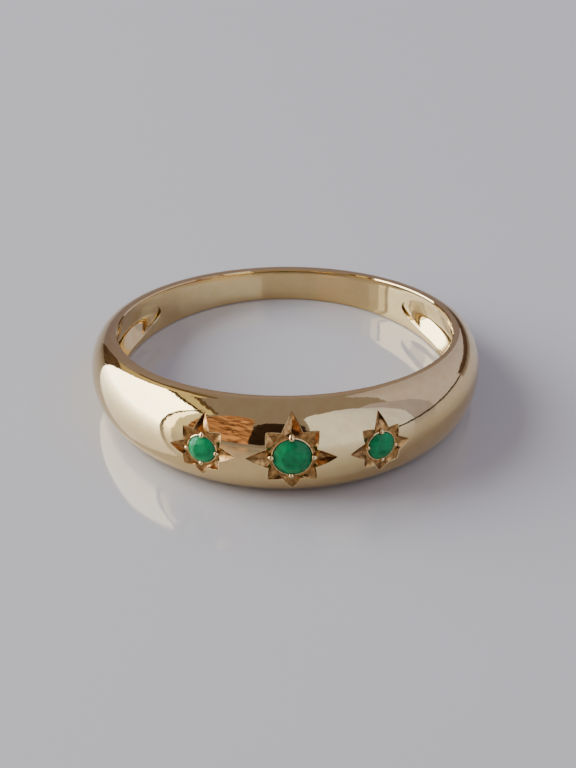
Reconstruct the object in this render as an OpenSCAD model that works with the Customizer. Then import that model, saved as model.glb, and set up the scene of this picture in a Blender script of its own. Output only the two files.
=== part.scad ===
// A flush set gypsy ring: a domed gold band, hollow behind the dome, with three round stones in star cuts.
// It lies on its lower rim. X runs across the front, Y from the front to the back, and Z is up.

/* [Band] */
// Diameter of the finger hole
bore_d = 17.5; // [15.5:0.25:21]
// Width of the band at the front
front_w = 5.1; // [4.8:0.1:5.8]
// Width of the band at the back
back_w = 1.8; // [1.5:0.1:2.4]
// Height of the dome over the finger hole at the front
front_t = 2.2; // [2:0.05:2.6]
// Thickness of the band at the back
back_t = 1.25; // [1.1:0.05:1.6]
// How quickly the dome thins away from the front
swell = 2.8; // [1.6:0.1:4]
// Width of the flat rim round each end of the finger hole
rim_w = 0.15; // [0.1:0.01:0.2]

/* [Hollow] */
// Angle from the front to each end of the hollow behind the dome
hollow_arc = 132; // [110:1:140]
// Lip left between the hollow and each rim
lip_w = 0.38; // [0.3:0.02:0.5]
// Height of the straight wall inside each lip
lip_t = 0.15; // [0.1:0.01:0.2]
// Thickness of the wall over the hollow
wall_t = 0.9; // [0.8:0.05:1]

/* [Stars] */
// Distance between the middles of two stars, along the crown of the band
star_pitch = 4.8; // [4.55:0.05:5.2]
// Length of the centre star, from tip to tip along the band
centre_star_l = 4.7; // [4.2:0.1:4.9]
// Height of the centre star, from tip to tip across the band
centre_star_h = 4.1; // [3.8:0.1:4.3]
// Distance between two opposite short tips of the centre star
centre_short_l = 3.6; // [3.3:0.1:3.8]
// Depth of the centre star's floor below the crown
centre_depth = 0.38; // [0.32:0.02:0.44]
// Length of each side star, from tip to tip along the band
side_star_l = 3.5; // [3.2:0.1:3.8]
// Height of each side star, from tip to tip across the band
side_star_h = 3.4; // [3.1:0.1:3.7]
// Distance between two opposite short tips of a side star
side_short_l = 2.9; // [2.7:0.1:3.1]
// Depth of a side star's floor below the crown
side_depth = 0.26; // [0.22:0.02:0.36]
// Flat floor left round each stone
floor_w = 0.2; // [0.15:0.01:0.22]
// How far the wall between two points leans out
wall_lean = 0.13; // [0.08:0.01:0.16]

/* [Stones] */
// Diameter of the centre stone
centre_stone_d = 1.95; // [1.7:0.05:2.1]
// Diameter of each side stone
side_stone_d = 1.45; // [1.25:0.05:1.6]
// Diameter of a stone's table for each millimetre of the stone's own
table_share = 0.58; // [0.5:0.01:0.64]
// Slope of the main facets over a stone's edge
crown_angle = 33; // [29:1:36]
// Slope of the main facets under a stone's edge
pavilion_angle = 41; // [39:1:43]
// Thickness of a stone's edge
girdle_t = 0.05; // [0.03:0.01:0.07]
// Clearance between a stone and the metal round it
stone_gap = 0.02; // [0.015:0.005:0.03]
// Width of the cone that bears a stone's edge
bearing_w = 0.3; // [0.2:0.02:0.36]

/* [Grains] */
// Diameter of the four grains at the centre stone
centre_grain_d = 0.36; // [0.3:0.02:0.42]
// Diameter of the four grains at each side stone
side_grain_d = 0.3; // [0.26:0.02:0.36]
// How far a grain's middle stands outside the edge of its stone
grain_out = 0.1; // [0.08:0.01:0.14]
// Height of a grain's middle above the floor of its star
grain_rise = 0.06; // [0.04:0.01:0.1]

/* [Hidden] */

// Sections round the band, and spans in the arc of each section
BAND_SECTIONS = 96;
ARC_SPANS = 12;
// Spans along the hollow, and in the arc of each of its sections
HOLLOW_LENGTHS = 48;
HOLLOW_SPANS = 8;
// How much shallower the scoops at the hollow's ends are than the hollow
SCOOP_STEP = 0.04;
// Spans along each edge of a star
EDGE_SPANS = 3;
// How far a cutter reaches past the surface that it cuts
PAST = 0.6;
// Angle from one corner of a star, or of a stone's edge, to the next
CORNER = 22.5;
// Where the lower facets of a stone end, as a share of its radius
LOWER_SHARE = 0.3;
// Sides of the round shapes in a preview: the finger hole, the seats and scoops, and the grains
BORE_SIDES = 180;
SEAT_SIDES = 64;
GRAIN_SIDES = 32;

bore_r = bore_d / 2;
rim_r = bore_r + rim_w;
crown_r = bore_r + front_t;

// Both rims lie in planes that lean together towards the back
rim_slope = (front_w - back_w) / 4 / rim_r;
mid_half_w = (front_w + back_w) / 4;
tilt = atan(rim_slope);

// Half the width between the rim planes at an angle from the front and a distance from the finger hole's axis
function half_width(angle, r = rim_r) = mid_half_w + rim_slope * r * cos(angle);

// Height of the dome over the finger hole at an angle from the front
function dome_height(angle) = back_t + (front_t - back_t) * pow((1 + cos(angle)) / 2, swell);

// Distance of the dome's surface from the axis: a half ellipse that stands on the two rims
function dome_r(angle, z) =
    rim_r + (dome_height(angle) - rim_w) * sqrt(max(0, 1 - pow(z / half_width(angle), 2)));

// A point at an angle from the front, a distance from the axis and a height over the middle of the band
function at(angle, r, z) = [r * sin(angle), -r * cos(angle), z];

// The D-shaped section of the band, filled a little way into the finger hole
function band_section(angle) =
    let (w = half_width(angle), h = dome_height(angle) - rim_w, inner_w = half_width(angle, bore_r - PAST))
    concat(
        [at(angle, bore_r - PAST, -inner_w)],
        [for (i = [0 : ARC_SPANS]) let (a = 180 * i / ARC_SPANS) at(angle, rim_r + h * sin(a), -w * cos(a))],
        [at(angle, bore_r - PAST, inner_w)]
    );

// The hollow's section: straight walls inside the lips, which run parallel to the rims, under a half ellipse
function hollow_section(angle) =
    let (
        inner_w = half_width(angle, bore_r - 2 * PAST) - lip_w,
        w = half_width(angle, bore_r + lip_t) - lip_w,
        h = dome_height(angle) - wall_t - lip_t
    )
    concat(
        [at(angle, bore_r - 2 * PAST, -inner_w)],
        [
            for (i = [0 : HOLLOW_SPANS])
                let (a = 180 * i / HOLLOW_SPANS) at(angle, bore_r + lip_t + h * sin(a), -w * cos(a))
        ],
        [at(angle, bore_r - 2 * PAST, inner_w)]
    );

// Each end of the hollow is a round scoop, as wide as the hollow is there, which takes up the last of its angle
scoop_w = half_width(hollow_arc) - lip_w;
scoop_h = dome_height(hollow_arc) - wall_t - SCOOP_STEP;
scoop_r = (pow(scoop_w, 2) + pow(scoop_h, 2)) / (2 * scoop_h);
full_arc = hollow_arc - asin(scoop_w / bore_r);

// The stars, a row each: angle from the front, half length, half height, reach of the short tips, depth of the
// floor, radius of the stone and radius of the grains
side_angle = star_pitch / crown_r * 180 / PI;
side_sizes = [
    side_star_l / 2, side_star_h / 2, side_short_l / 2, side_depth, side_stone_d / 2, side_grain_d / 2
];
CENTRE = [
    0, centre_star_l / 2, centre_star_h / 2, centre_short_l / 2,
    centre_depth, centre_stone_d / 2, centre_grain_d / 2
];
LEFT = concat([-side_angle], side_sizes);
RIGHT = concat([side_angle], side_sizes);
STARS = [CENTRE, LEFT, RIGHT];
function angle_of(star) = star[0];
function depth_of(star) = star[4];
function stone_r_of(star) = star[5];
function grain_r_of(star) = star[6];
function floor_r_of(star) = stone_r_of(star) + floor_w;

// Distance of a star's corner from its middle: sixteen corners, each second one a notch, the others the tips
function reach(star, corner) =
    corner % 2 == 1 ? floor_r_of(star) + wall_lean :
    corner % 4 == 2 ? star[3] :
    corner % 8 == 0 ? star[1] :
    star[2];

// A point on a ring of sixteen corners, a share of the way from one corner to the next
function on_edge(reaches, corner, part) =
    let (
        a = CORNER * corner,
        from = reaches[corner] * [cos(a), sin(a)],
        to = reaches[(corner + 1) % 16] * [cos(a + CORNER), sin(a + CORNER)]
    )
    from + (to - from) * part;

// A star's outline laid on the dome, or a rise above it
function star_outline(star, rise) =
    let (reaches = [for (corner = [0 : 15]) reach(star, corner)])
    [
        for (corner = [0 : 15], i = [0 : EDGE_SPANS - 1])
            let (
                p = on_edge(reaches, corner, i / EDGE_SPANS),
                angle = angle_of(star) + p[0] / crown_r * 180 / PI
            )
            at(angle, dome_r(angle, p[1]) + rise, p[1])
    ];

// The edge of a star's flat floor
function floor_outline(star) =
    let (
        reaches = [for (corner = [0 : 15]) floor_r_of(star)],
        floor_y = dome_r(angle_of(star), 0) - depth_of(star),
        c = cos(angle_of(star)),
        s = sin(angle_of(star))
    )
    [
        for (corner = [0 : 15], i = [0 : EDGE_SPANS - 1])
            let (p = on_edge(reaches, corner, i / EDGE_SPANS))
            [p[0] * c + floor_y * s, p[0] * s - floor_y * c, p[1]]
    ];

// Heights and radii of a stone's corners over the bottom of its girdle
function table_r(r) = r * table_share;
function table_z(r) = girdle_t + (r - table_r(r)) * tan(crown_angle);
function upper_r(r) = (r + table_r(r)) / 2;
function upper_z(r) = girdle_t + (r - upper_r(r) * cos(CORNER)) * tan(crown_angle);
function lower_r(r) = LOWER_SHARE * r;
function lower_z(r) = -(r - lower_r(r) * cos(CORNER)) * tan(pavilion_angle);
function culet_z(r) = -r * tan(pavilion_angle);

// Skin over a row of rings of points, which run clockwise seen from the row's far end. A closed row meets
// its own start, and an open one gets a fan over each end.
function middle_of(points) = [for (k = [0 : 2]) [for (p = points) p[k]] * [for (p = points) 1 / len(points)]];
module skin(rings, closed = false) {
    n = len(rings);
    m = len(rings[0]);
    points = concat(
        [for (ring = rings) each ring],
        closed ? [] : [middle_of(rings[0]), middle_of(rings[n - 1])]
    );
    sides = [
        for (i = [0 : closed ? n - 1 : n - 2], j = [0 : m - 1])
            let (
                a = i * m + j,
                b = i * m + (j + 1) % m,
                c = (i + 1) % n * m + j,
                d = (i + 1) % n * m + (j + 1) % m
            )
            each [[a, b, c], [b, d, c]]
    ];
    ends = closed ? [] : [
        for (j = [0 : m - 1])
            let (k = (j + 1) % m)
            each [[n * m, k, j], [n * m + 1, (n - 1) * m + j, (n - 1) * m + k]]
    ];
    polyhedron(points, concat(sides, ends));
}

// Turns the ring from its own axis to how it lies on its lower rim, with the origin under its middle
module lay_down()
    translate([0, (front_t - back_t) / 2 * cos(tilt), mid_half_w * cos(tilt)])
        rotate([-tilt, 0, 0])
            children();

// Puts the origin at the middle of a star's floor, with Z pointing out of the band
module at_star(star)
    rotate([0, 0, angle_of(star)])
        translate([0, depth_of(star) - dome_r(angle_of(star), 0), 0])
            rotate([90, 0, 0])
                children();

// The dome and shank, before anything is cut
module band_blank()
    skin([for (i = [0 : BAND_SECTIONS - 1]) band_section(360 * i / BAND_SECTIONS)], closed = true);

// The space behind the dome, between its two scoops
module hollow()
    skin([for (i = [0 : HOLLOW_LENGTHS]) hollow_section(full_arc * (2 * i / HOLLOW_LENGTHS - 1))]);

// The round scoops at the ends of the hollow
module scoops()
    for (side = [-1, 1])
        translate(at(side * full_arc, bore_r + scoop_h - scoop_r, 0))
            sphere(r = scoop_r, $fn = SEAT_SIDES);

// The cut of one star: eight grooves that run down from the tips to a flat floor
module star_cut(star)
    skin([star_outline(star, PAST), star_outline(star, 0), floor_outline(star)]);

// Room for one stone: its own outline and clearance, the cone that bears its edge and the drilled hole below it
module stone_seat(star) {
    r = stone_r_of(star);
    drill_r = r - bearing_w;
    bearing_slope = lower_z(r) / (r - lower_r(r));
    rotate_extrude($fn = SEAT_SIDES)
        polygon([
            [0, depth_of(star) + PAST],
            [table_r(r) + stone_gap, depth_of(star) + PAST],
            [table_r(r) + stone_gap, table_z(r) + stone_gap],
            [upper_r(r) + stone_gap, upper_z(r) + stone_gap],
            [r + stone_gap, girdle_t + stone_gap],
            [r + stone_gap, -stone_gap],
            [drill_r, -stone_gap + bearing_slope * (r + stone_gap - drill_r)],
            [drill_r, -front_t - PAST],
            [0, -front_t - PAST]
        ]);
}

// The four grains pushed over a stone's edge, at the start of the long points
module grains(star)
    for (turn = [0 : 90 : 270])
        rotate([0, 0, turn])
            translate([stone_r_of(star) + grain_out, 0, grain_rise])
                sphere(r = grain_r_of(star), $fn = GRAIN_SIDES);

// The band as one cast piece, with its stars, seats and grains
module band()
    color("#d8bd88")
        lay_down()
            difference() {
                union() {
                    difference() {
                        band_blank();
                        for (star = STARS) star_cut(star);
                        cylinder(r = bore_r, h = 2 * front_w, center = true, $fn = BORE_SIDES);
                        hollow();
                        scoops();
                    }
                    for (star = STARS) at_star(star) grains(star);
                }
                for (star = STARS) at_star(star) stone_seat(star);
            }

// A ring of points round a stone
function stone_ring(count, r, z, turn = 0) =
    [for (i = [0 : count - 1]) [r * cos(360 * i / count + turn), r * sin(360 * i / count + turn), z]];

// A round cut stone: a table, eight star, eight main and sixteen edge facets above, and twenty-four below
module cut_stone(star) {
    r = stone_r_of(star);
    points = concat(
        stone_ring(8, table_r(r), table_z(r)),
        stone_ring(8, upper_r(r), upper_z(r), CORNER),
        stone_ring(16, r, girdle_t),
        stone_ring(16, r, 0),
        stone_ring(8, lower_r(r), lower_z(r), CORNER),
        [[0, 0, culet_z(r)]]
    );
    // Where each ring starts in the list
    TABLE = 0;
    UPPER = 8;
    GIRDLE_TOP = 16;
    GIRDLE_BASE = 32;
    LOWER = 48;
    CULET = 56;
    faces = [
        [for (i = [7 : -1 : 0]) TABLE + i],
        for (i = [0 : 7])
            let (
                next = (i + 1) % 8, before = (i + 7) % 8,
                edge = 2 * i, mid = 2 * i + 1, far = (2 * i + 2) % 16
            )
            each [
                [TABLE + i, TABLE + next, UPPER + i],
                [TABLE + i, UPPER + i, GIRDLE_TOP + edge, UPPER + before],
                [UPPER + i, GIRDLE_TOP + mid, GIRDLE_TOP + edge],
                [UPPER + i, GIRDLE_TOP + far, GIRDLE_TOP + mid],
                [GIRDLE_TOP + edge, GIRDLE_TOP + mid, GIRDLE_BASE + mid, GIRDLE_BASE + edge],
                [GIRDLE_TOP + mid, GIRDLE_TOP + far, GIRDLE_BASE + far, GIRDLE_BASE + mid],
                [LOWER + i, GIRDLE_BASE + edge, GIRDLE_BASE + mid],
                [LOWER + i, GIRDLE_BASE + mid, GIRDLE_BASE + far],
                [CULET, LOWER + before, GIRDLE_BASE + edge, LOWER + i]
            ]
    ];
    color("#1f8a52")
        lay_down()
            at_star(star)
                polyhedron(points, faces);
}

// The larger stone in the middle star
module centre_emerald()
    cut_stone(CENTRE);

// The smaller stone in the left star
module left_emerald()
    cut_stone(LEFT);

// The smaller stone in the right star
module right_emerald()
    cut_stone(RIGHT);

band();
centre_emerald();
left_emerald();
right_emerald();
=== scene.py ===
"""A flush set gypsy ring: a domed band of nine carat gold, hollow behind the dome, with three emeralds.

The stones are sunk in eight-pointed star cuts, and the ring lies on its lower rim on a glossy pale table.
Sizes are in millimetres and become metres where a mesh is made. Angles round the band start at the front.
"""

import bpy
import numpy as np
from mathutils import Matrix, Vector


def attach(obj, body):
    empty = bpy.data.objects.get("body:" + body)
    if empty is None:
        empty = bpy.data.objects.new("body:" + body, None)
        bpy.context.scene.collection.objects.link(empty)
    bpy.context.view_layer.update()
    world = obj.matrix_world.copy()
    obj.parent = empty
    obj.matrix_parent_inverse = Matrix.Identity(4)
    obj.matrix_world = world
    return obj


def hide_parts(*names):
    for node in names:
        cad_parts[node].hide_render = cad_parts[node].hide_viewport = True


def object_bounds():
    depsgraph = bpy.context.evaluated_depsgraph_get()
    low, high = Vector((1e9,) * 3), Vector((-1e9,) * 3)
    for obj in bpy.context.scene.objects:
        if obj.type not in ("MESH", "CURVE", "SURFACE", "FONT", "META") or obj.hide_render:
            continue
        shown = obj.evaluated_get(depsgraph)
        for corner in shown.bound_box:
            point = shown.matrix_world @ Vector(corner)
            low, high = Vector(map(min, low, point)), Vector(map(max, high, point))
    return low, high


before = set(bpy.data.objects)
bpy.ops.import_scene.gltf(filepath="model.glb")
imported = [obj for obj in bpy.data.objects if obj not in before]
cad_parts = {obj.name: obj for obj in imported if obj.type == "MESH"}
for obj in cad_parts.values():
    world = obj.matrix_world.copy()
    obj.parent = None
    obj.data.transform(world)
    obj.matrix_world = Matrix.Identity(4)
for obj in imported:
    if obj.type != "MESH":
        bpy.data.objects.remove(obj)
cad_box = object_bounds()
scene = bpy.context.scene

# CAMERA
# It stands where the photograph was taken from, 180 mm off in front of the ring and about a third of a right
# angle over the table. Its place and lens were fitted to the rims, outline and stones in the photograph.
RING_MIDDLE = Vector((0, 0.473, 1.718))
CAMERA_OFF = 180
CAMERA_UP = np.radians(32.86)
CAMERA_ROUND = np.radians(1.94)
FOCAL_PIXELS = 3426.5
PICTURE_SIZE = (576, 768)
RING_MIDDLE_PIXEL = (285.1, 358.7)
SENSOR = 36

back = Vector((
    -np.cos(CAMERA_UP) * np.sin(CAMERA_ROUND), -np.cos(CAMERA_UP) * np.cos(CAMERA_ROUND), np.sin(CAMERA_UP)
))
aside = Vector((np.cos(CAMERA_ROUND), -np.sin(CAMERA_ROUND), 0))
above = back.cross(aside)
pixel = CAMERA_OFF / FOCAL_PIXELS
stand = RING_MIDDLE + CAMERA_OFF * back
aim = (
    RING_MIDDLE
    + (PICTURE_SIZE[0] / 2 - RING_MIDDLE_PIXEL[0]) * pixel * aside
    - (PICTURE_SIZE[1] / 2 - RING_MIDDLE_PIXEL[1]) * pixel * above
)

camera_data = bpy.data.cameras.new("camera")
camera_data.sensor_fit = "VERTICAL"
camera_data.sensor_height = SENSOR
camera_data.lens = FOCAL_PIXELS / PICTURE_SIZE[1] * SENSOR
camera_data.clip_start = 0.01
camera_data.clip_end = 10
camera = bpy.data.objects.new("camera", camera_data)
turn = (stand - aim).to_track_quat("Z", "Y").to_matrix().to_4x4()
camera.matrix_world = Matrix.Translation(stand / 1000) @ turn
scene.collection.objects.link(camera)
scene.camera = camera


# TABLE
# A sheet of glossy pale grey acrylic, cast and polished by its maker. The ring lies loose on it and shows in
# it as a faint mirror image over a smooth grey.
TABLE_SIZE = 1600
TABLE_GREY = "#bdb9b5"
HAZE_SIZE = 11.1


def colour(code):
    """A hex colour as the screen shows it, turned to linear light: the fourth number is its opacity."""
    part = np.array([int(code[i:i + 2], 16) for i in (1, 3, 5)]) / 255
    return (*np.where(part <= 0.04045, part / 12.92, ((part + 0.055) / 1.055) ** 2.4), 1.0)


def node(tree, kind, inputs=None, **settings):
    """Adds a node with its settings to a tree. Among its inputs a socket is linked, and a value is set."""
    made = tree.nodes.new(kind)
    for name, value in settings.items():
        setattr(made, name, value)
    for name, value in (inputs or {}).items():
        if isinstance(value, bpy.types.NodeSocket):
            tree.links.new(value, made.inputs[name])
        else:
            made.inputs[name].default_value = value
    return made


def new_material(name):
    """An empty material: its tree and its surface output."""
    material = bpy.data.materials.new(name)
    material.use_nodes = True
    material.node_tree.nodes.clear()
    return material, material.node_tree, material.node_tree.nodes.new("ShaderNodeOutputMaterial")


def new_piece(name, points, faces):
    """A mesh object at the origin, from points in millimetres and faces that point outwards."""
    mesh = bpy.data.meshes.new(name)
    mesh.from_pydata((np.asarray(points) / 1000).tolist(), [], faces)
    piece = bpy.data.objects.new(name, mesh)
    scene.collection.objects.link(piece)
    return piece


# Polished acrylic: the haze that wiping leaves on it softens the mirror image a little, more in some patches
acrylic, tree, output = new_material("polished_grey_acrylic")
place = node(tree, "ShaderNodeTexCoord").outputs["Object"]
haze = node(tree, "ShaderNodeTexNoise", {
    "Vector": place, "Scale": 1000 / HAZE_SIZE, "Detail": 5, "Roughness": 0.55,
})
sheen = node(tree, "ShaderNodeMapRange", {"Value": haze.outputs["Fac"], "To Min": 0.06, "To Max": 0.1})
gloss = node(tree, "ShaderNodeBsdfPrincipled", {
    "Base Color": colour(TABLE_GREY), "Roughness": sheen.outputs["Result"], "IOR": 1.6,
})
tree.links.new(gloss.outputs["BSDF"], output.inputs["Surface"])
half = TABLE_SIZE / 2
corners = [(-half, -half, 0), (half, -half, 0), (half, half, 0), (-half, half, 0)]
table = new_piece("table", corners, [(0, 1, 2, 3)])
table.data.materials.append(acrylic)

# ROOM AND LIGHT
# A plain room by day, as the polished dome mirrors it: a big window and gilt on the left, wood beside them, a
# pale wall and a curtain on the right, and dark shapes in front. It is made of flat upright cards that glow.
# They light the ring and stand in its reflections, and the camera itself sees none of them.
ROOM = "#9c969f"
# The clouds in the cards: their size, how strongly they swirl, and between which values a noise mostly lies
CLOUD_SIZE, CLOUD_SWIRL = 90.9, 3.5
NOISE_LOW, NOISE_HIGH = 0.35, 0.65
CARDS = [
    # name, azimuth from and to, elevation from and to, fall of its top at the ends, azimuth of its wall,
    # distance, dark and light shade, strength, axis of its slow change, where on it the card is darkest and
    # lightest, share of the clouds, and how many times closer they are sideways and upright
    ("window", -102.6, -44.5, 0, 50, 0, -75, 400, "#e2edff", "#f0f6ff", 10.5, "Z", 0, 400, 0.2, 1, 1),
    ("window_side_pane", -110.5, -105.2, 0, 44, 0, -95, 400, "#fff8e8", "#ffffff", 5, "Z", 0, 300, 0.2, 1, 1),
    ("window_reveal", -118.4, -110.5, 0, 45, 0, -95, 400, "#f0eedc", "#fffff0", 1.25, "Z", 0, 300, 0.3, 1, 1),
    ("window_frame", -105.2, -102.6, 0, 52, 0, -95, 398, "#2c241a", "#57493a", 1, "Z", 0, 300, 0.5, 1, 1),
    ("window_head", -118, -44, 50, 53, 0, -75, 398, "#33261a", "#5c4a38", 1, "Z", 0, 600, 0.5, 1, 1),
    ("gilt_rail", -118, -38, 53, 58.5, 0, -75, 396, "#c8bc8c", "#fff6cc", 1, "X", 0, -300, 0.4, 1, 3),
    ("rail_shade", -118, -24, 58.5, 61.5, 0, -75, 394, "#4c3c2e", "#7a6650", 1, "X", 0, -600, 0.5, 1, 3),
    ("gilt_drape", -44.5, -31, 22, 58, 8, -55, 396, "#94846a", "#f2e6bc", 1.3, "Z", 100, 450, 0.5, 3, 0.6),
    ("drape_shade", -31, -20, 34, 60, 12, -55, 396, "#54422f", "#8c7a62", 0.95, "Z", 100, 500, 0.6, 3, 0.6),
    ("dark_corner", -44.5, -27, 0, 21, 6, -40, 396, "#3c2e27", "#7a675a", 1, "Z", 0, 160, 0.6, 2, 1),
    ("shade_behind", -27, 16, 0, 42, 4, -10, 440, "#877e8a", "#a79eae", 1.03, "Z", 40, 300, 0.25, 1, 1),
    ("skirting", 12, 62, 0, 7.5, 3, 32, 400, "#4c3c3a", "#66544e", 1, "Z", 0, 60, 0.4, 1, 1),
    ("wall_foot", 58, 120, 0, 1.6, 0, 88, 345, "#2a211c", "#4a3c34", 1, "Z", 0, 60, 0.5, 1, 1),
    ("pale_wall", 16, 88, 0, 58, 3, 50, 440, "#b9b7d4", "#d8d7f8", 1.07, "X", 100, 420, 0.2, 1, 1),
    ("curtain_side", 88, 104, 0, 60, 0, 110, 420, "#a8a8ca", "#b8b8da", 1.15, "Z", 0, 600, 0.3, 2, 0.3),
    ("curtain", 104, 166, 0, 70, 4, 128, 400, "#b4bce4", "#dce6ff", 1.7, "Y", -100, -330, 0.25, 2, 0.3),
    ("wood", -156.5, -118.4, 4, 59, 26, -138, 420, "#64443a", "#f4b88e", 1.12, "X", 0, -900, 1, 0.45, 0.8),
    ("dark_front", -192, -156.5, 5, 52, 8, -170, 420, "#28201e", "#403430", 1, "Z", 0, 500, 0.6, 1, 1),
]


def card_points(azimuth_from, azimuth_to, elevation_from, elevation_to, bow, wall, distance, steps=24):
    """A flat upright card on a wall at an azimuth and a distance, between two azimuths and two elevations.

    Each point is away by the distance over the cosine of its angle off the wall's, and its height is the
    distance times the tangent of its elevation. The top falls as the sixth power of how far across it is.
    """
    across = np.linspace(-1, 1, steps + 1)
    azimuth = np.radians(azimuth_from + (azimuth_to - azimuth_from) * (across + 1) / 2)[:, None]
    top = elevation_to - bow * across ** 6
    rise = np.tan(np.radians(np.stack([np.full_like(top, elevation_from), top], -1)))
    away = distance / np.cos(azimuth - np.radians(wall))
    return np.stack(np.broadcast_arrays(away * np.sin(azimuth), away * np.cos(azimuth), distance * rise), -1)


def grid_faces(rows, columns):
    """The quads of a grid of points, row by row."""
    index = np.arange(rows * columns).reshape(rows, columns)
    return np.stack([index[:-1, :-1], index[:-1, 1:], index[1:, 1:], index[1:, :-1]], -1).reshape(-1, 4)


# Each card glows in two shades, mixed by a slow change along an axis and by clouds, which the dome draws out
# into flames. The wood's clouds are the strongest, for the flamed brown patch on the dome.
for name, *patch, dark, light, strength, axis, darkest, lightest, cloudy, sideways, upright in CARDS:
    points = card_points(*patch)
    card = new_piece(name, points.reshape(-1, 3), grid_faces(*points.shape[:2]).tolist())
    glow, tree, output = new_material(name + "_glow")
    place = node(tree, "ShaderNodeTexCoord").outputs["Object"]
    part = node(tree, "ShaderNodeSeparateXYZ", {"Vector": place})
    slope = node(tree, "ShaderNodeMapRange", {
        "Value": part.outputs[axis], "From Min": darkest / 1000, "From Max": lightest / 1000,
    })
    spread = node(tree, "ShaderNodeMapping", {"Vector": place, "Scale": (sideways, sideways, upright)})
    cloud = node(tree, "ShaderNodeTexNoise", {
        "Vector": spread.outputs["Vector"], "Scale": 1000 / CLOUD_SIZE, "Detail": 2,
        "Distortion": CLOUD_SWIRL * cloudy,
    })
    contrast = node(tree, "ShaderNodeMapRange", {
        "Value": cloud.outputs["Fac"], "From Min": NOISE_LOW, "From Max": NOISE_HIGH,
    })
    amount = node(tree, "ShaderNodeMix", {
        "Factor": cloudy, "A": slope.outputs["Result"], "B": contrast.outputs["Result"],
    })
    mix = node(tree, "ShaderNodeMix", {
        "Factor": amount.outputs["Result"], "A": colour(dark), "B": colour(light),
    }, data_type="RGBA")
    shine = node(tree, "ShaderNodeEmission", {"Color": mix.outputs["Result"], "Strength": strength})
    tree.links.new(shine.outputs["Emission"], output.inputs["Surface"])
    card.data.materials.append(glow)
    card.visible_camera = False

world = bpy.data.worlds.new("room")
world.use_nodes = True
world.node_tree.nodes["Background"].inputs["Color"].default_value = colour(ROOM)
world.node_tree.nodes["Background"].inputs["Strength"].default_value = 1
scene.world = world

# BAND
# One casting in nine carat yellow gold. The dome and rims are buffed to a mirror, the wheel leaves the hollow
# behind the dome a little softer, and the stars are bright cut by hand with a graver after polishing.

# The finger hole's radius and the rims' width. The band's width and thickness at the front and the back, and
# the power by which it swells between them. The rounding of the rims' edges and of the hollow's.
BORE_R, RIM_W = 8.75, 0.15
FRONT_W, BACK_W, FRONT_T, BACK_T, SWELL = 5.1, 1.8, 2.2, 1.25, 2.8
RIM_ROUND, LIP_ROUND = 0.13, 0.015
# The hollow: its lips' width, its straight walls' depth, the dome's wall, its reach and that of its ends
LIP_W, LIP_T, WALL_T = 0.38, 0.15, 0.9
HOLLOW_ARC, HOLLOW_END_ARC = np.radians(132), np.radians(14)
RIM_R, CROWN_R = BORE_R + RIM_W, BORE_R + FRONT_T
RIM_SLOPE = (FRONT_W - BACK_W) / 4 / RIM_R
MID_HALF_W = (FRONT_W + BACK_W) / 4
TILT = np.arctan(RIM_SLOPE)

# The stars are cut by eye, so no two points are alike. Each has its angle from the front, the depth of its
# floor, its stone's radius, and the reach of its sixteen corners, from the right round over the top.
STAR_PITCH = 4.8
STAR_ANGLE = STAR_PITCH / CROWN_R
STARS = {
    "centre": (0.0, 0.38, 0.975, (
        2.29, 1.34, 1.96, 1.47, 2.2, 1.46, 1.91, 1.42, 2.38, 1.3, 1.79, 1.27, 1.9, 1.23, 1.78, 1.24,
    )),
    "left": (-STAR_ANGLE, 0.26, 0.725, (
        1.84, 1.14, 1.56, 1.16, 1.9, 1.16, 1.52, 1.04, 1.79, 1.08, 1.41, 1.0, 1.5, 1.02, 1.36, 1.06,
    )),
    "right": (STAR_ANGLE, 0.26, 0.725, (
        1.62, 1.0, 1.39, 1.04, 1.84, 1.12, 1.55, 1.12, 1.84, 1.14, 1.41, 1.04, 1.48, 1.08, 1.32, 1.04,
    )),
}
# The floor's width round a stone, the stone's clearance and the width that it rests on. The seat slopes as
# the stone's underside does: its angle, and the share of its radius at which the facets by its girdle end.
FLOOR_W, STONE_GAP, BEARING_W = 0.2, 0.02, 0.3
PAVILION, LOWER_SHARE = np.radians(41), 0.3
# How far a star's edges belly out, of their length, and how far and deep the buff rolls them over
BELLY, EDGE_ROLL, EDGE_DROP = 0.035, 0.04, 0.012


def half_width(theta, r):
    """Half the width between the rims, which are planes: it grows evenly towards the front."""
    return MID_HALF_W + RIM_SLOPE * r * np.cos(theta)


def dome_height(theta):
    """Height of the dome over the finger hole: the back's and a bulge, a power of (1 + cosine) / 2."""
    return BACK_T + (FRONT_T - BACK_T) * ((1 + np.cos(theta)) / 2) ** SWELL


def around(theta, r, z):
    """Points at an angle, a distance from the axis and a height over the middle, as the ring lies."""
    x, y, z = np.broadcast_arrays(r * np.sin(theta), -r * np.cos(theta), z)
    return lay_down(np.stack([x, y, z], -1))


def lay_down(points):
    """Turns the ring by the slope of its rim, so that the lower rim lies flat, and centres it."""
    x, y, z = np.moveaxis(points, -1, 0)
    c, s = np.cos(TILT), np.sin(TILT)
    return np.stack([x, y * c + z * s + (FRONT_T - BACK_T) / 2 * c, z * c - y * s + MID_HALF_W * c], -1)


def dome(theta, a):
    """The outer surface: half an ellipse from the lower rim, a = 0, to the upper, a = pi, carried round."""
    r = RIM_R + (dome_height(theta) - RIM_W) * np.sin(a)
    return around(theta, r, -half_width(theta, RIM_R) * np.cos(a))


def ending(theta):
    """1 along the hollow, falling as a quarter of an ellipse to 0 at its ends."""
    past = (np.abs(theta) - (HOLLOW_ARC - HOLLOW_END_ARC)) / HOLLOW_END_ARC
    return np.sqrt(1 - np.clip(past, 0, 1) ** 2)


def mouth(theta):
    """Half the width of the hollow's mouth in the wall of the finger hole."""
    return (half_width(theta, BORE_R + LIP_T) - LIP_W) * ending(theta)


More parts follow.
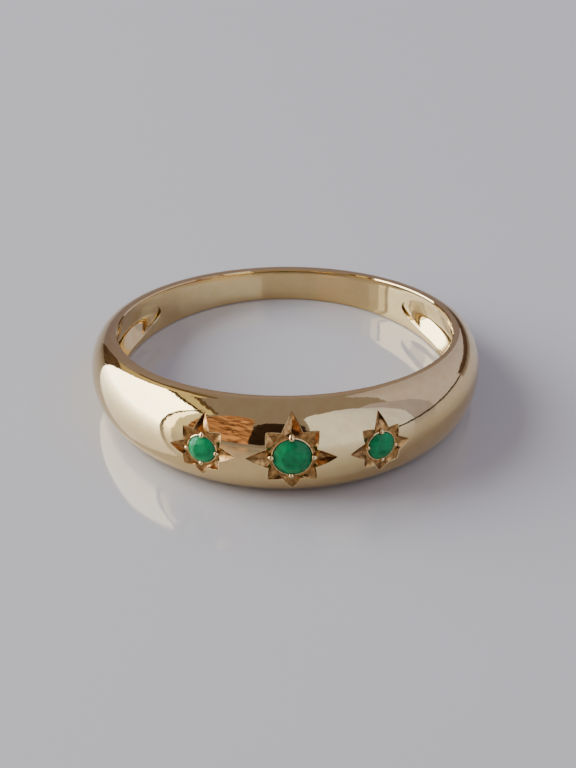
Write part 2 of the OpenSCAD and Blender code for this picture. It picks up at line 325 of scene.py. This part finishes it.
def roof_r(theta, b):
    """Radius of the hollow's roof: half an ellipse over straight walls, both lower towards its ends."""
    return BORE_R + (LIP_T + (dome_height(theta) - WALL_T - LIP_T) * np.sin(b)) * ending(theta)


def hollow(theta, b):
    """The hollow's roof, from its upper side, b = 0, to its lower, b = pi."""
    return around(theta, roof_r(theta, b), mouth(theta) * np.cos(b))


# The wheel rounds the hollow over, so it mirrors as a softer dish: the dish's depth, in depths of the hollow,
# its upper slope, in lower slopes, and the arc over which it levels out at its ends
DISH_SHARE, UPPER_SHARE, FADE_ARC = 1.5, 0.2, np.radians(16)


def scooped(theta, down):
    """The dish that the hollow's normals come from, from its upper edge, down = -1, to its lower, down = 1.

    It has two slopes. Each starts crisply at its edge and levels out in the middle, as 1 - w^6 with w from 0
    at the edge to 1 in the middle.
    """
    past = np.clip((np.abs(theta) - (HOLLOW_ARC - FADE_ARC)) / FADE_ARC, 0, 1)
    dish = DISH_SHARE * (dome_height(theta) - WALL_T) * np.cos(np.pi / 2 * past) ** 2
    w = 1 - np.abs(down)
    section = (7 * w - w ** 7) / 6
    section = np.where(down < 0, 1 - UPPER_SHARE * (1 - section), section)
    return around(theta, BORE_R + dish * section, -mouth(theta) * down)


def unit_normals(surface, s, t, step=1e-4):
    """Unit normals of a surface of two parameters: the cross product of its two slopes."""
    across = surface(s + step, t) - surface(s - step, t)
    along = surface(s, t + step) - surface(s, t - step)
    normals = np.cross(across, along)
    return normals / np.linalg.norm(normals, axis=-1, keepdims=True)


# The band's grid. Its columns run round the band: past half the middle star's block, the side star's block,
# the rest of the hollow, its rounded end and the back. The blocks are left open, and the stars fill them.
BLOCK_HALF_W = 2.62
SPANS, SIDE_SPANS, END_SPANS, BACK_SPANS = 32, 65, 20, 37
HAIR = 1e-9
block_edge = BLOCK_HALF_W / CROWN_R
outer_edge = 2 * STAR_ANGLE - block_edge
hollow_end = HOLLOW_ARC - HOLLOW_END_ARC
right_half = np.concatenate([
    np.linspace(0, block_edge, SPANS // 2 + 1), np.linspace(block_edge, outer_edge, SPANS + 1)[1:],
    np.linspace(outer_edge, hollow_end, SIDE_SPANS + 1)[1:],
    hollow_end + HOLLOW_END_ARC * np.sin(np.linspace(0, np.pi / 2, END_SPANS + 1))[1:],
    np.linspace(HOLLOW_ARC, np.pi, BACK_SPANS + 1)[1:],
])
thetas = np.concatenate([-right_half[:0:-1], right_half[:-1]])
columns = len(thetas)
block_start = {
    "centre": np.searchsorted(thetas, -block_edge - HAIR),
    "left": np.searchsorted(thetas, -outer_edge - HAIR),
    "right": np.searchsorted(thetas, block_edge - HAIR),
}

# Its rows run once round the section: over the dome, across the upper rim, through the hollow and back. The
# blocks keep a margin from both rims.
MARGIN, MARGIN_ROWS, RIM_ROWS = np.radians(24), 8, 4
arc = np.concatenate([
    np.linspace(0, MARGIN, MARGIN_ROWS + 1)[:-1], np.linspace(MARGIN, np.pi - MARGIN, SPANS + 1),
    np.linspace(np.pi - MARGIN, np.pi, MARGIN_ROWS + 1)[1:],
])


def lip_rows(side):
    """Rows from a rim to the hollow: quarter circles at the rim's edge and the mouth's, the lip between."""
    c = np.linspace(0, np.pi / 2, RIM_ROWS)[:, None]
    r = BORE_R + RIM_ROUND * (1 - np.sin(c))
    rim = around(thetas, r, side * (half_width(thetas, r) - RIM_ROUND * (1 - np.cos(c))))
    roll = LIP_ROUND * ending(thetas)
    top, low = half_width(thetas, BORE_R) - RIM_ROUND, mouth(thetas) + roll
    lip = around(thetas, BORE_R, side * (top + (low - top) * np.array([[1], [2], [3]]) / 3))
    c = np.radians([[45], [90]])
    edge = around(thetas, BORE_R + roll * (1 - np.cos(c)), side * (low - roll * np.sin(c)))
    return np.concatenate([rim, lip, edge])[::side]


column_of, row_of = np.meshgrid(thetas, arc)
grid = np.concatenate([dome(column_of, row_of), lip_rows(1), hollow(column_of, row_of), lip_rows(-1)])
dome_rows = len(arc)
hollow_first = dome_rows + len(lip_rows(1))
hollow_end_row = hollow_first + len(arc)


def strips(index):
    """Quads between each row of points and the next, each row closed on itself."""
    low, high = index[:-1], index[1:]
    return np.stack([low, np.roll(low, -1, 1), np.roll(high, -1, 1), high], -1)


index = np.arange(grid.size // 3).reshape(grid.shape[:2])
quads = strips(np.concatenate([index, index[:1]]))
# The faces get one of three finishes; the cut faces' gold is painted darker, as painted shade in the stars
POLISHED, SCOOPED, CUT_PAINTED_DARK = 0, 1, 2
finish = np.full(quads.shape[:2], POLISHED)
finish[hollow_first - 1:hollow_end_row] = SCOOPED
kept = np.ones(quads.shape[:2], bool)
for first in block_start.values():
    for row in (MARGIN_ROWS, hollow_first + MARGIN_ROWS):
        kept[row:row + SPANS, first:first + SPANS] = False

# The shaded faces take the normals given here: the dome's own, straight inwards on the lips, and the dish's
# in the hollow, whose lower edge keeps them too. The rest, round the rims' edges, have Blender's own.
shaded = np.zeros(quads.shape[:2], bool)
shaded[:dome_rows - 1] = True
shaded[dome_rows + RIM_ROWS:-RIM_ROWS - 1] = True
normals = np.zeros_like(grid)
normals[:dome_rows] = unit_normals(dome, column_of, row_of)
normals[dome_rows + RIM_ROWS:-RIM_ROWS] = around(thetas, -1, 0) - around(thetas, 0, 0)
open_columns = np.abs(thetas) < HOLLOW_ARC - HAIR
normals[hollow_first:hollow_end_row, open_columns] = unit_normals(
    scooped, column_of[:, open_columns], -np.cos(row_of[:, open_columns])
)
normals[hollow_end_row] = normals[hollow_end_row - 1]

points = [grid.reshape(-1, 3)]
vertex_normals = [normals.reshape(-1, 3)]
faces, face_finish, face_shaded = [quads[kept]], [finish[kept]], [shaded[kept]]
vertex_total = len(points[0])

# Each star's block: rings of points from the block's edge to the star's outline, down its walls to a flat
# floor, into the stone's seat, down the drilled hole, and over the hollow's roof to the block's edge there.
DOME_RINGS, WALL_RINGS, ROOF_RINGS = 9, 6, 7
# On the buffed roll of the outline: how far out two rings are, and how much their normals lean inwards
ROLL, ROLL_LEAN = np.array([[0.5], [1]]), np.array([[0.3], [0.75]])
# The edge burnished round a stone: how far from the seat its foot and its top's two sides are, and its height
BRIM_FOOT, BRIM_OUTER, BRIM_INNER, BRIM_H = 0.07, 0.045, 0.015, 0.018
step = np.arange(SPANS)
side_rows = MARGIN_ROWS + np.concatenate([step, 0 * step + SPANS, SPANS - step, 0 * step])
side_columns = np.concatenate([0 * step + SPANS, SPANS - step, 0 * step, step])


def star_points(corner_reach, belly):
    """Points round a star from its lower right corner: sixteen corners, and edges bellied as parabolas."""
    turn = np.arange(14, 31)
    spokes = np.stack([np.cos(turn * np.pi / 8), np.sin(turn * np.pi / 8)], -1)
    corners = corner_reach[turn % 16, None] * spokes
    part = (np.arange(SPANS // 4) / (SPANS // 4))[:, None]
    edge = corners[1:, None] - corners[:-1, None]
    outward = np.stack([edge[..., 1], -edge[..., 0]], -1)
    return (corners[:-1, None] + edge * part + 4 * belly * part * (1 - part) * outward).reshape(-1, 2)


def from_star(angle, depth, xyz):
    """Points given in a star's own frame, which lies on the middle of its floor, Z out of the band."""
    x, y, z = np.moveaxis(xyz, -1, 0)
    out = RIM_R + dome_height(angle) - RIM_W - depth + z
    c, s = np.cos(angle), np.sin(angle)
    return lay_down(np.stack([x * c + out * s, x * s - out * c, y], -1))


for name, (angle, depth, stone_r, reach) in STARS.items():
    seat_r, drill_r = stone_r + STONE_GAP, stone_r - BEARING_W
    outline, floor = star_points(np.array(reach), BELLY), star_points(np.full(16, stone_r + FLOOR_W), 0)
    ring_columns = block_start[name] + side_columns

    # On the dome, where the buff has rolled the outline's edge over a little
    edge = np.stack([thetas[ring_columns], arc[side_rows]], -1)
    star_theta = angle + outline[:, 0] / CROWN_R
    target = np.stack([star_theta, np.arccos(-outline[:, 1] / half_width(star_theta, RIM_R))], -1)
    edge_z = -half_width(edge[:, 0], RIM_R) * np.cos(edge[:, 1])
    gap = np.hypot((edge[:, 0] - target[:, 0]) * CROWN_R, edge_z - outline[:, 1])
    share = np.concatenate([
        np.linspace(0, 1, DOME_RINGS + 1)[1:, None] * (1 - EDGE_ROLL / gap), 1 - EDGE_ROLL / gap * (1 - ROLL),
    ])
    theta, a = np.moveaxis(edge + (target - edge) * share[..., None], -1, 0)
    up = unit_normals(dome, theta, a)
    on_dome = dome(theta, a)
    on_dome[-2:] -= up[-2:] * EDGE_DROP * ROLL[..., None] ** 2
    inward = on_dome[-1] - on_dome[-3]
    inward /= np.linalg.norm(inward, axis=-1, keepdims=True)
    dome_normals = up.copy()
    dome_normals[-2:] += inward * ROLL_LEAN[..., None]
    dome_normals /= np.linalg.norm(dome_normals, axis=-1, keepdims=True)

    # Down the walls of the points to the floor, across it, over the edge burnished round the stone, and down
    # the seat and the drilled hole
    flat = np.concatenate([floor, 0 * floor[:, :1]], -1)
    floor_ring = from_star(angle, depth, flat)
    wall = on_dome[-1] + (floor_ring - on_dome[-1]) * np.linspace(0, 1, WALL_RINGS + 1)[1:, None, None]
    direction = floor / np.linalg.norm(floor, axis=-1, keepdims=True)
    bearing_slope = (1 - LOWER_SHARE * np.cos(np.pi / 8)) * np.tan(PAVILION) / (1 - LOWER_SHARE)
    profile = np.array([
        (seat_r + BRIM_FOOT, 0), (seat_r + BRIM_OUTER, BRIM_H), (seat_r + BRIM_INNER, BRIM_H), (seat_r, 0),
        (seat_r, -STONE_GAP), (drill_r, -STONE_GAP - bearing_slope * (seat_r - drill_r)),
    ])
    heights = np.broadcast_to(profile[:, 1:, None], (len(profile), len(floor), 1))
    seat = from_star(angle, depth, np.concatenate([direction * profile[:, :1, None], heights], -1))

    # The drilled hole comes out where it is as far from the axis as the roof is, found closer at each try
    roof_x, roof_z = (direction * drill_r).T
    away = np.full(len(floor), CROWN_R - WALL_T)
    for _ in range(6):
        roof_theta = angle + np.arctan2(roof_x, away)
        roof_b = np.arccos(roof_z / mouth(roof_theta))
        away = np.sqrt(roof_r(roof_theta, roof_b) ** 2 - roof_x ** 2)
    circle = np.stack([roof_theta, roof_b], -1)
    far = np.stack([thetas[ring_columns], arc[::-1][side_rows]], -1)
    outwards = np.linspace(0, 1, ROOF_RINGS + 1)[:-1, None, None]
    theta, b = np.moveaxis(circle + (far - circle) * outwards, -1, 0)
    on_roof = hollow(theta, b)
    drilled = seat[-1] + (on_roof[0] - seat[-1]) * np.array([1 / 3, 2 / 3])[:, None, None]

    rings = np.concatenate([on_dome, wall, seat, drilled, on_roof])
    ring_index = vertex_total + np.arange(len(rings) * len(floor)).reshape(len(rings), -1)
    outer_ring = index[side_rows, ring_columns]
    inner_ring = index[hollow_end_row - 1 - side_rows, ring_columns]
    around_star = strips(np.concatenate([[outer_ring], ring_index, [inner_ring]]))
    # The walls, floor, seat and drilled hole take the cut gold, painted darker as shade in the recess
    kind = np.full(len(around_star), CUT_PAINTED_DARK)
    kind[:len(on_dome)] = POLISHED
    kind[-len(on_roof):] = SCOOPED
    burnished = len(on_dome) + len(wall) + 1
    kind[burnished:burnished + 3] = POLISHED
    points.append(rings.reshape(-1, 3))
    ring_normals = np.zeros_like(rings)
    ring_normals[:len(on_dome)] = dome_normals
    ring_normals[-len(on_roof):] = unit_normals(scooped, theta, -np.cos(b))
    vertex_normals.append(ring_normals.reshape(-1, 3))
    faces.append(around_star.reshape(-1, 4))
    face_finish.append(np.repeat(kind, len(floor)))
    face_shaded.append(np.repeat(kind != CUT_PAINTED_DARK, len(floor)))
    vertex_total += len(points[-1])

points, vertex_normals, faces = (np.concatenate(parts) for parts in (points, vertex_normals, faces))
face_finish, face_shaded = np.concatenate(face_finish), np.concatenate(face_shaded)


def weld(points, faces):
    """Merges points that share a place and drops unused ones: the kept points' numbers and the new faces."""
    _, first, new = np.unique(np.round(points, 5), axis=0, return_index=True, return_inverse=True)
    faces = new.reshape(-1)[faces]
    used, faces = np.unique(faces, return_inverse=True)
    return first[used], faces.reshape(-1, 4)


# The grains: four at each stone, raised from the floor with the graver, pushed over the stone's edge and
# rounded off with a cup tool. Each has an angle, a distance from the stone's middle and a radius.
GRAINS = {
    "centre": [(-1, 1.09, 0.17), (91, 1.07, 0.18), (180, 1.06, 0.17), (267, 1.03, 0.16)],
    "left": [(-6, 0.79, 0.135), (88, 0.8, 0.14), (184, 0.79, 0.135), (268, 0.77, 0.13)],
    "right": [(-8, 0.77, 0.135), (90, 0.79, 0.14), (174, 0.78, 0.135), (273, 0.78, 0.13)],
}
# How high a grain's middle is over the floor, in radii, how far its outer half is drawn out at that height,
# and how much further one radius lower
GRAIN_SIT, ROOT_OUT, ROOT_GROWTH = 0.4, 1.25, 0.45
BALL_ROWS, BALL_COLUMNS = 13, 24
latitude = np.linspace(-np.pi / 2, np.pi / 2, BALL_ROWS)[:, None]
longitude = np.linspace(0, 2 * np.pi, BALL_COLUMNS + 1)[:-1]
ball = np.stack(np.broadcast_arrays(
    np.cos(latitude) * np.cos(longitude), np.cos(latitude) * np.sin(longitude), np.sin(latitude),
), -1)
ball_quads = strips(np.arange(BALL_ROWS * BALL_COLUMNS).reshape(BALL_ROWS, BALL_COLUMNS)).reshape(-1, 4)


def grain(turn, out, radius):
    """A ball with a root: its outer half is drawn out along the floor, evenly more towards its foot."""
    x, y, z = np.moveaxis(ball * radius, -1, 0)
    x = np.where(x > 0, x * (ROOT_OUT - ROOT_GROWTH * z / radius), x)
    c, s = np.cos(turn), np.sin(turn)
    return np.stack([(out + x) * c - y * s, (out + x) * s + y * c, z + GRAIN_SIT * radius], -1)


for name, group in GRAINS.items():
    angle, depth = STARS[name][:2]
    for turn, out, radius in group:
        placed = from_star(angle, depth, grain(np.radians(turn), out, radius))
        points = np.concatenate([points, placed.reshape(-1, 3)])
        faces = np.concatenate([faces, ball_quads + vertex_total])
        vertex_total = len(points)
grown = len(faces) - len(face_finish)
vertex_normals = np.concatenate([vertex_normals, np.zeros((len(points) - len(vertex_normals), 3))])
face_finish = np.concatenate([face_finish, np.full(grown, POLISHED)])
face_shaded = np.concatenate([face_shaded, np.zeros(grown, bool)])

# The smooth curves pass the faceted solid's box by a few micrometres and are held to it. Faces that shrink to
# a line, at the hollow's ends and the grains' poles, are left out.
chosen, faces = weld(points, faces)
points, vertex_normals = np.clip(points[chosen], *(1000 * np.array(cad_box))), vertex_normals[chosen]
good = (faces == np.roll(faces, -1, 1)).sum(1) < 2
faces, face_finish, face_shaded = faces[good], face_finish[good], face_shaded[good]
face_list = [list(dict.fromkeys(face)) for face in faces.tolist()]
band = new_piece("gold_band", points, face_list)
band.data.polygons.foreach_set("material_index", face_finish)
band.data.polygons.foreach_set("use_smooth", face_finish != CUT_PAINTED_DARK)
band.data.set_sharp_from_angle(angle=np.radians(24))
loop_vertex = np.zeros(len(band.data.loops), int)
band.data.loops.foreach_get("vertex_index", loop_vertex)
loop_face = np.repeat(np.arange(len(face_list)), [len(face) for face in face_list])
band.data.normals_split_custom_set(vertex_normals[loop_vertex] * face_shaded[loop_face, None])
band.data.update()

# Nine carat gold with three surfaces. Buffing leaves a bright mirror, and faint ripples bend what it mirrors.
# The wheel leaves it a little softer and deeper in colour. The graver leaves fine chatter, which makes the
# stars' walls glitter; its marks, too fine to show, are drawn as coarse as they need to show. The cut gold's
# colour is painted darker and browner, as painted shade in the recessed stars, and it is mottled at random.
GOLDS = [
    # name, colour from and to, roughness from and to, size of its ripples in millimetres, their strength
    ("buffed_nine_carat_gold", "#dec086", "#e2c68e", 0.03, 0.07, 0.6, 0.5),
    ("wheeled_nine_carat_gold", "#dfc083", "#e4c890", 0.08, 0.13, 0.7, 0.2),
    # the graver's gold: its dark, brown colours are painted shade in the recessed stars, mottled at random
    ("graver_cut_nine_carat_gold_painted_dark", "#7e5a32", "#ba8e56", 0.12, 0.26, 0.2, 0.6),
]
# How high the ripples are and how large the patches that years of wear leave a little duller, in millimetres
RIPPLE_H, WEAR_SIZE = 0.01, 0.714
for name, shade, bright, smooth, worn, ripple_size, ripple_strength in GOLDS:
    gold, tree, output = new_material(name)
    place = node(tree, "ShaderNodeTexCoord").outputs["Object"]
    wear = node(tree, "ShaderNodeTexNoise", {"Vector": place, "Scale": 1000 / WEAR_SIZE, "Detail": 4})
    rough = node(tree, "ShaderNodeMapRange", {"Value": wear.outputs["Fac"], "To Min": smooth, "To Max": worn})
    ripple = node(tree, "ShaderNodeTexNoise", {"Vector": place, "Scale": 1000 / ripple_size, "Detail": 2})
    bump = node(tree, "ShaderNodeBump", {
        "Height": ripple.outputs["Fac"], "Strength": ripple_strength, "Distance": RIPPLE_H / 1000,
    })
    contrast = node(tree, "ShaderNodeMapRange", {
        "Value": ripple.outputs["Fac"], "From Min": NOISE_LOW, "From Max": NOISE_HIGH,
    })
    tone = node(tree, "ShaderNodeMix", {
        "Factor": contrast.outputs["Result"], "A": colour(shade), "B": colour(bright),
    }, data_type="RGBA")
    metal = node(tree, "ShaderNodeBsdfPrincipled", {
        "Base Color": tone.outputs["Result"], "Metallic": 1.0, "Roughness": rough.outputs["Result"],
        "Normal": bump.outputs["Normal"],
    })
    tree.links.new(metal.outputs["BSDF"], output.inputs["Surface"])
    band.data.materials.append(gold)
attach(band, "root")
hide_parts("band")

# EMERALDS
# Three round natural emeralds, cut with a table and rings of facets, polished, set flush with the metal and
# held by the grains. Their shapes are the solids' own.
INCLUSION_SIZE = 0.667
SCATTER_DEPTH = 0.8
# Faceted emerald: a full green clouded by inclusions, so it glows softly and little light comes back from
# below. Real inclusions are too fine to show, and these are drawn as coarse as they need to show.
emerald, tree, output = new_material("faceted_emerald")
place = node(tree, "ShaderNodeTexCoord").outputs["Object"]
inclusions = node(tree, "ShaderNodeTexNoise", {
    "Vector": place, "Scale": 1000 / INCLUSION_SIZE, "Detail": 6, "Roughness": 0.6,
})
green = node(tree, "ShaderNodeValToRGB", {"Fac": inclusions.outputs["Fac"]})
green.color_ramp.elements[0].position, green.color_ramp.elements[1].position = 0.3, 0.7
green.color_ramp.elements[0].color, green.color_ramp.elements[1].color = colour("#12653a"), colour("#24a262")
stone = node(tree, "ShaderNodeBsdfPrincipled", {
    "Base Color": green.outputs["Color"], "Roughness": 0.2, "IOR": 1.58, "Specular IOR Level": 0.15,
    "Subsurface Weight": 0.8, "Subsurface Radius": (0.3, 1, 0.5), "Subsurface Scale": SCATTER_DEPTH / 1000,
})
tree.links.new(stone.outputs["BSDF"], output.inputs["Surface"])
for name in ("centre_emerald", "left_emerald", "right_emerald"):
    stone_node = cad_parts[name]
    stone_node.data.materials.clear()
    stone_node.data.materials.append(emerald)
